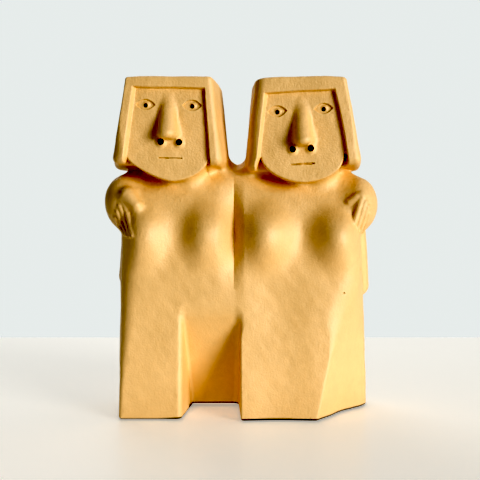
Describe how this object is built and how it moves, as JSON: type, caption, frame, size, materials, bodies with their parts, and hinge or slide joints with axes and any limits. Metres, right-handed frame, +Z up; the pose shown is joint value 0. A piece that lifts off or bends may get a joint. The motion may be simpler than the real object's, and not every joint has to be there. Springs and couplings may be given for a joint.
{
  "type": "ceramic folk figurine",
  "caption": "Standing ceramic figurine of women embracing side by side, with flat-topped hair, a groove between their bodies and a niche at the base.",
  "frame": {"origin": "middle of the underside's bounding rectangle, on the surface that the figurine stands on", "axes": "+Z up, -Y the way the faces look, +X to the right seen from the front"},
  "size_m": [0.25, 0.1132, 0.3],
  "materials": {
    "clay": "unglazed ochre fired clay, matt, finely grained"
  },
  "bodies": {
    "root": {"embracing_pair": "clay"}
  },
  "joints": []
}
